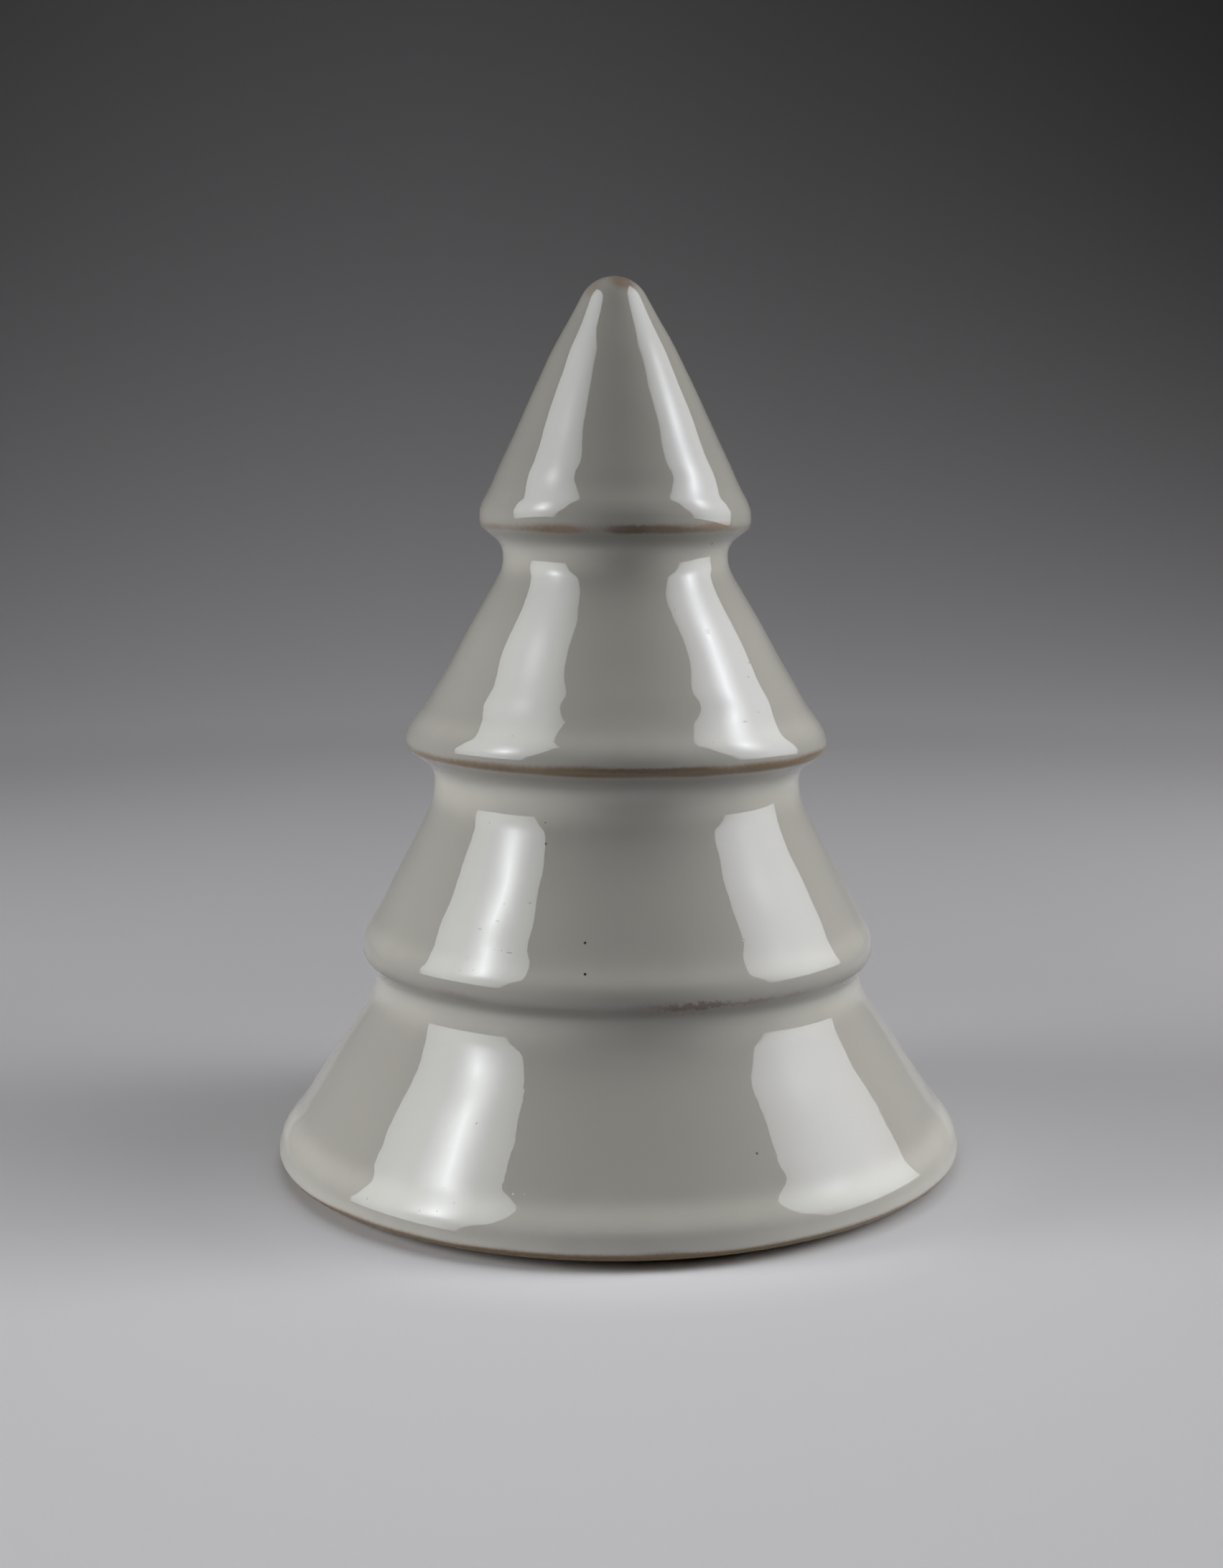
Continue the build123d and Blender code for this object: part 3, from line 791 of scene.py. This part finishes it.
class TREE_OT_clay_body(bpy.types.Operator):
    """Gives the clay body its bare stoneware."""

    bl_idname = "ceramic_tree.clay_body"
    bl_label = "Clay body"

    def execute(self, context):
        material = clay_material(context.scene.ceramic_tree.clay)
        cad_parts["clay_body"].material_slots[0].material = material
        return {"FINISHED"}


class TREE_OT_foot_pads(bpy.types.Operator):
    """Gives the four foot pads their felt."""

    bl_idname = "ceramic_tree.foot_pads"
    bl_label = "Foot pads"

    def execute(self, context):
        material = felt_material(context.scene.ceramic_tree.clay)
        pads = [node for name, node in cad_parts.items() if name.startswith("foot_pad")]
        if not pads:
            raise RuntimeError("the frame has no foot pads")
        for pad in pads:
            pad.material_slots[0].material = material
        return {"FINISHED"}


class TREE_OT_stage(bpy.types.Operator):
    """Sets the paper, the lamps, the room light and the camera."""

    bl_idname = "ceramic_tree.stage"
    bl_label = "Stage"

    def execute(self, context):
        settings = context.scene.ceramic_tree.stage
        context.scene.view_settings.view_transform = "Standard"
        self.lay_paper(settings)
        for box in SOFTBOXES:
            lamp = self.hang_lamp(context, *box)
            lamp.visible_diffuse = False
            self.shape_glow(lamp.data, *CORES[lamp.name])
        for panel in PANELS:
            self.hang_lamp(context, *panel).visible_glossy = False
        world = bpy.data.worlds.new("dim_room")
        world.use_nodes = True
        room = world.node_tree.nodes["Background"]
        room.inputs["Strength"].default_value = settings.room_light
        room.inputs["Color"].default_value = (1, 1, 1, 1)
        context.scene.world = world
        self.place_camera(context, settings)
        return {"FINISHED"}

    def lay_paper(self, settings):
        """A sheet of paper that rises all round in a wide curve."""
        bm = bmesh.new()
        draw_section(bm, PAPER_SECTION, PAPER_GAP, PAPER_ARC_STEPS)
        turn_section(bm, PAPER_TURN_STEPS)
        bmesh.ops.reverse_faces(bm, faces=bm.faces[:])
        new_piece(bm, "paper_sweep", paper_material(settings))

    def hang_lamp(self, context, name, centre, facing, up, size, power):
        """An area lamp that the camera itself doesn't see."""
        light = bpy.data.lights.new(name, "AREA")
        light.shape = "RECTANGLE"
        light.size, light.size_y = (side * MM for side in size)
        light.energy = power
        lamp = bpy.data.objects.new(name, light)
        back = -Vector(facing).normalized()
        side = Vector(up).cross(back).normalized()
        turn = Matrix((side, back.cross(side), back)).transposed().to_4x4()
        lamp.matrix_world = Matrix.Translation(Vector(centre) * MM) @ turn
        lamp.visible_camera = False
        context.scene.collection.objects.link(lamp)
        return lamp

    def shape_glow(self, light, across, along, strength, tint):
        """Lets a softbox fade toward its edges and shine where its bulb is."""
        light.color = linear(tint)
        light.use_nodes = True
        tree = light.node_tree
        spot = add_node(tree, "ShaderNodeNewGeometry").outputs["Parametric"]
        offset = add_node(tree, "ShaderNodeVectorMath", {
            0: spot, 1: (-0.5, -0.5, 0.0)}, operation="ADD")
        spread = add_node(tree, "ShaderNodeVectorMath", {
            0: offset.outputs[0], 1: CLOTH_FALL}, operation="MULTIPLY")
        fall = add_node(tree, "ShaderNodeVectorMath", {
            0: spread.outputs[0], 1: spread.outputs[0]}, operation="DOT_PRODUCT")
        cloth = add_node(tree, "ShaderNodeMath", {
            0: 1.0, 1: fall.outputs["Value"]}, operation="SUBTRACT")
        near = add_node(tree, "ShaderNodeVectorMath", {
            0: offset.outputs[0], 1: (-across / 2, -along / 2, 0.0)}, operation="ADD")
        scaled = add_node(tree, "ShaderNodeVectorMath", {
            0: near.outputs[0], "Scale": 2 / CORE_REACH}, operation="SCALE")
        bulb = add_node(tree, "ShaderNodeTexGradient", {
            "Vector": scaled.outputs[0]}, gradient_type="QUADRATIC_SPHERE")
        total = add_node(tree, "ShaderNodeMath", {
            0: bulb.outputs["Fac"], 1: strength, 2: cloth.outputs[0]},
            operation="MULTIPLY_ADD")
        tree.links.new(total.outputs[0], tree.nodes["Emission"].inputs["Strength"])

    def place_camera(self, context, settings):
        """The camera at the photograph's place."""
        data = bpy.data.cameras.new("photo_camera")
        data.lens = settings.focal_length
        data.clip_start = 0.01
        camera = bpy.data.objects.new("photo_camera", data)
        camera.matrix_world = (
            Matrix.Translation((0, -settings.distance, settings.height))
            @ Matrix.Rotation(settings.yaw, 4, "Z")
            @ Matrix.Rotation(math.pi / 2 - settings.pitch, 4, "X")
            @ Matrix.Rotation(settings.roll, 4, "Z"))
        context.scene.collection.objects.link(camera)
        context.scene.camera = camera


class VIEW3D_PT_ceramic_tree(bpy.types.Panel):
    """Lists the tree's settings and the steps that build it."""

    bl_label = "Ceramic tree"
    bl_space_type = "VIEW_3D"
    bl_region_type = "UI"
    bl_category = "Ceramic tree"

    def draw(self, context):
        settings = context.scene.ceramic_tree
        groups = (
            (settings.glaze, [TREE_OT_glaze_coat]),
            (settings.clay, [TREE_OT_clay_body, TREE_OT_foot_pads]),
            (settings.stage, [TREE_OT_stage]),
        )
        for group, operators in groups:
            box = self.layout.box()
            for name in group.__annotations__:
                box.prop(group, name)
            for operator in operators:
                box.operator(operator.bl_idname)


CLASSES = (
    GlazeSettings,
    ClaySettings,
    StageSettings,
    TreeSettings,
    TREE_OT_glaze_coat,
    TREE_OT_clay_body,
    TREE_OT_foot_pads,
    TREE_OT_stage,
    VIEW3D_PT_ceramic_tree,
)


def register():
    for cls in CLASSES:
        bpy.utils.register_class(cls)
    bpy.types.Scene.ceramic_tree = PointerProperty(type=TreeSettings)


def unregister():
    del bpy.types.Scene.ceramic_tree
    for cls in reversed(CLASSES):
        bpy.utils.unregister_class(cls)


def main():
    """Builds the tree and its stage in order."""
    register()
    bpy.ops.ceramic_tree.glaze_coat()
    bpy.ops.ceramic_tree.clay_body()
    bpy.ops.ceramic_tree.foot_pads()
    bpy.ops.ceramic_tree.stage()


if __name__ == "__main__":
    main()
